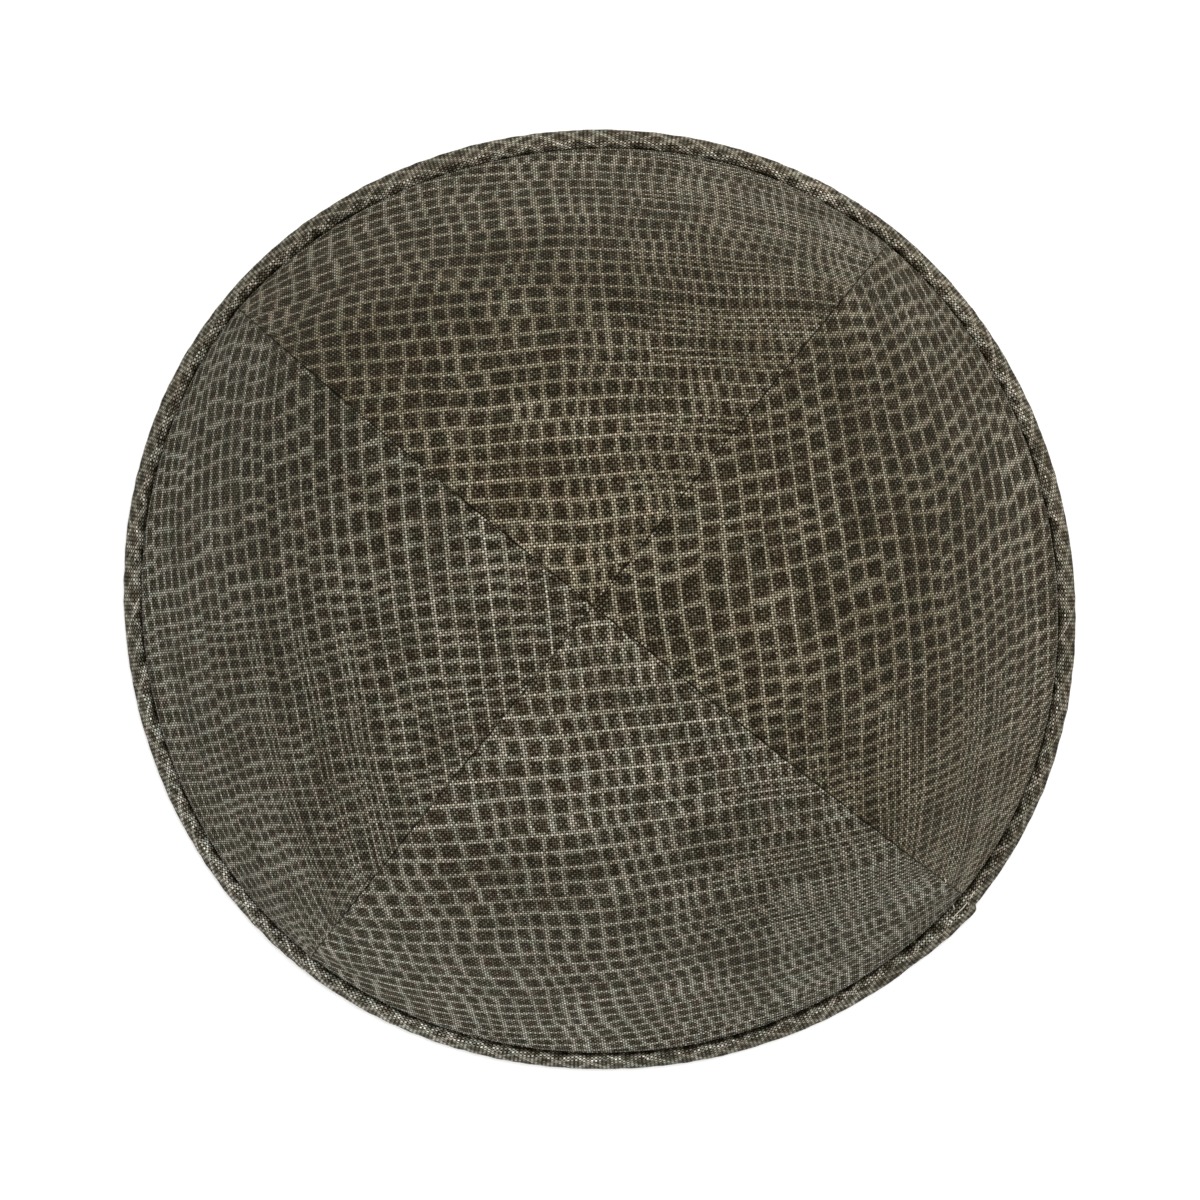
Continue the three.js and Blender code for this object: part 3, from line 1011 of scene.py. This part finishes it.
def stripFold(spot):
    # painted shade in the ditch beside the panels and in the puckers' hollows, from 0 to 1
    toFront = (math.degrees(spot["angle"]) + 90 + 180) % 360 - 180
    atFront = math.exp(-(toFront / binding["ditchFront"]) ** 2)
    deep = smoothStep(ringNoise(spot["angle"], 27, 12.4), -0.25, 0.2)  # the ditch's painted shade is deepest in stretches
    shallowEnd, deepEnd, frontEnd = binding["ditchEnd"]
    ditchEnd = mix(mix(shallowEnd, deepEnd, deep), frontEnd, atFront)
    shallowDark, deepDark, frontDark = binding["paintedDitchShade"]
    paintedDitchShade = mix(mix(shallowDark, deepDark, deep), frontDark, atFront)
    inDitch = 1 - smoothStep(spot["row"], ditchEnd - binding["ditchSoft"], ditchEnd + binding["ditchSoft"])
    # painted shade in the puckers' hollows
    hollowShade = smoothStep(-spot["crimp"], 0.1, 0.5) * binding["paintedPuckerShade"] * spot["onBand"]
    return max(inDitch * (paintedDitchShade - 0.15 * (1 - spot["pulled"])), hollowShade)


def stripPaintedLight(spot, up):
    # painted light: how much lighter the strip is than the panels, by the parts of its section and round the
    # rim
    blotch = smoothStep(ringNoise(spot["angle"], 23, up * 300), -0.1, 0.35) * binding["ledgeBlotch"]
    ridgeLight = math.exp(-(spot["offRidge"] / 0.5) ** 2) * mix(*binding["paintedRidgeLight"], spot["broken"])
    paintedBandLight = mix(*binding["paintedBandLight"], smoothStep(spot["offRidge"], 0.4, 2.2)) * spot["onBand"]
    paintedLedgeLight = (mix(*binding["paintedLedgeLight"], spot["nearDitch"]) - blotch) * spot["onLedge"]
    fromLight = spot["angle"] - binding["lightSide"]
    # painted light and shade round the rim, by the side that the light falls on
    paintedSideLight = 1 + binding["paintedSideLight"] * (math.cos(2 * fromLight) - (1 + math.cos(fromLight)) / 2)
    return (1 + paintedBandLight + paintedLedgeLight + ridgeLight) * paintedSideLight - 1


def stripPlaces(spot):
    # a point's places on the weave and in the print of a strip cut on the bias
    run = spot["angle"] * cap["rimRadius"] / mm * binding["biasStretch"]
    girth = spot["girth"]
    startAcross, startDown = binding["cutPlace"]
    across = run * math.cos(binding["bias"]) + girth * math.sin(binding["bias"]) + startAcross
    down = girth * math.cos(binding["bias"]) - run * math.sin(binding["bias"]) + startDown
    return (across, down), (across / cloth["cellWidth"], down / cloth["rowHeight"])


def makeBinding():
    shape = bmesh.new()
    segments = binding["segments"]
    bmesh.ops.create_grid(shape, x_segments=segments, y_segments=binding["sectionSteps"], size=1.0)
    maps = [shape.loops.layers.uv.new(name) for name in clothMaps]
    layers = {name: shape.verts.layers.float.new(name) for name in clothLayers}
    rows = sectionRows()
    sections = [sectionAt(stripStart + stripSweep * i / segments) for i in range(segments + 1)]
    places = {}
    for vert in shape.verts:
        spot = stripSpot(vert, rows, sections)
        out, up = stripMoved(spot)
        vert.co = skirtPoint(spot["angle"], out, up)
        # a painted highlight along the ridge pales the ink
        ridgeHighlight = binding["paintedRidgeHighlight"] * math.exp(-(spot["offRidge"] / 0.45) ** 2) * spot["broken"]
        leastWarm, warmer = binding["warmth"]
        setLayers(vert, layers, {
            "fold": stripFold(spot),
            "wearAndHighlight": binding["wornOver"] + ridgeHighlight,
            "paintedLightAndTone": stripPaintedLight(spot, up),
            "warmth": leastWarm + warmer * (1 + math.cos(spot["angle"] - binding["lightSide"])),
            "dense": 0.0,
            "splitRows": 0.0,
            "cellWidth": cloth["cellWidth"],
            "rowHeight": cloth["rowHeight"],
        })
        places[vert.index] = stripPlaces(spot)
    mapCloth(shape, maps, places)
    strip = finishMesh("edgeBinding", shape)
    addThickness(strip, binding["thickness"])
    stripWidth = max(girths[-1] for points, girths in sections) + 2 * binding["hiddenTurn"]
    return strip, stripWidth * mm, stripSweep * cap["rimRadius"]


strip, stripWidth, stripLength = makeBinding()
print("the binding strip is cut", round(stripWidth, 4), "wide and", round(stripLength, 4), "long")
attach(strip, "root")
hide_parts("edge_binding")
print("binding made")

# Thread ends left at the strip's join: two lie along its ridge, and two short ones stand on the panels
joinThreads = {
    "width": 0.18 * mm,
    "segments": 14,
    "sides": 6,
    "twist": 2.5,  # turns of the thread's strands to a millimetre
    "color": (0.62, 0.59, 0.49, 1),
    "shadeColor": (0.38, 0.34, 0.26, 1),
    "roughness": 0.7,
    "sheen": 0.1,
    "bump": (0.5, 0.04 * mm),
    "onStrip": [  # degrees round the rim, row of the strip's section, and millimetres above it
        [(-43.7, 6.5, 0.05), (-44.1, 6.7, 0.32), (-44.5, 6.9, 0.34), (-44.9, 7.0, 0.1)],
        [(-45.3, 5.6, 0.18), (-46.2, 5.5, 0.3), (-47.1, 5.5, 0.26), (-48.2, 5.7, 0.08)],
    ],
    "onPanel": [  # degrees round the rim, millimetres up the skirt, and millimetres above the cloth
        [(-46.7, 4.5, 0.1), (-47.0, 4.1, 0.6), (-47.3, 3.7, 0.5)],
        [(-44.7, 17.2, 0.0), (-44.85, 16.8, 0.25), (-45.1, 16.4, 0.06)],
    ],
}


def stripRoute(route):
    points = []
    for turn, row, over in route:
        angle = math.radians(turn)
        out, up = onCurve(binding["section"], row / lastRow)
        toEnd = (binding["joinAngle"] - angle) * cap["rimRadius"]
        lifted = endLift(toEnd) if toEnd > 0 else 0.0
        points.append(skirtPoint(angle, out * mm + lifted, (up + raisedBy(angle) + over) * mm))
    return points


def panelRoute(route):
    return [capPoint(math.radians(turn), meridianLength - up * mm, over * mm) for turn, up, over in route]


def makeJoinThreads():
    shape = bmesh.new()
    strandMap = shape.loops.layers.uv.new("strand")
    strands = {}
    routes = [stripRoute(route) for route in joinThreads["onStrip"]]
    routes += [panelRoute(route) for route in joinThreads["onPanel"]]
    for route in routes:
        before = set(shape.verts)
        bmesh.ops.create_grid(
            shape, x_segments=joinThreads["segments"], y_segments=joinThreads["sides"], size=1.0)
        length = sum((b - a).length for a, b in zip(route, route[1:]))
        for vert in set(shape.verts) - before:
            share = (vert.co.x + 1) / 2
            turn = (vert.co.y + 1) * math.pi
            here = onCurve(route, share)
            ahead = onCurve(route, min(share + 0.01, 1)) - onCurve(route, max(share - 0.01, 0))
            side = ahead.cross(Vector((0, 0, 1))).normalized()
            upward = side.cross(ahead).normalized()
            thick = joinThreads["width"] / 2 * math.sqrt(max(0.0, 1 - (2 * share - 1) ** 8))
            vert.co = here + (side * math.cos(turn) + upward * math.sin(turn)) * thick
            strands[vert] = (share * length / mm, turn / math.tau)
    for face in shape.faces:
        face.smooth = True
        for loop in face.loops:
            loop[strandMap].uv = strands[loop.vert]
    bmesh.ops.remove_doubles(shape, verts=shape.verts, dist=1e-7)
    bmesh.ops.recalc_face_normals(shape, faces=shape.faces)
    return finishMesh("joinThreads", shape)


def makeThreadFinish():
    finish = bpy.data.materials.new("sewingThread")
    finish.use_nodes = True
    n = ClothNodes(finish.node_tree)
    along, turn = n.parts(n.uv("strand"))
    turns = n.math("MULTIPLY_ADD", along, joinThreads["twist"], turn)
    strand = n.math("SINE", n.math("MULTIPLY", turns, math.tau))
    strand = n.math("MULTIPLY_ADD", strand, 0.5, 0.5)
    color = n.mixColor(strand, joinThreads["shadeColor"], joinThreads["color"])
    softShader(finish, n, color, joinThreads["roughness"], joinThreads, strand)
    return finish


threads = makeJoinThreads()
threads.data.materials.append(makeThreadFinish())
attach(threads, "root")
print("threads at the join made")
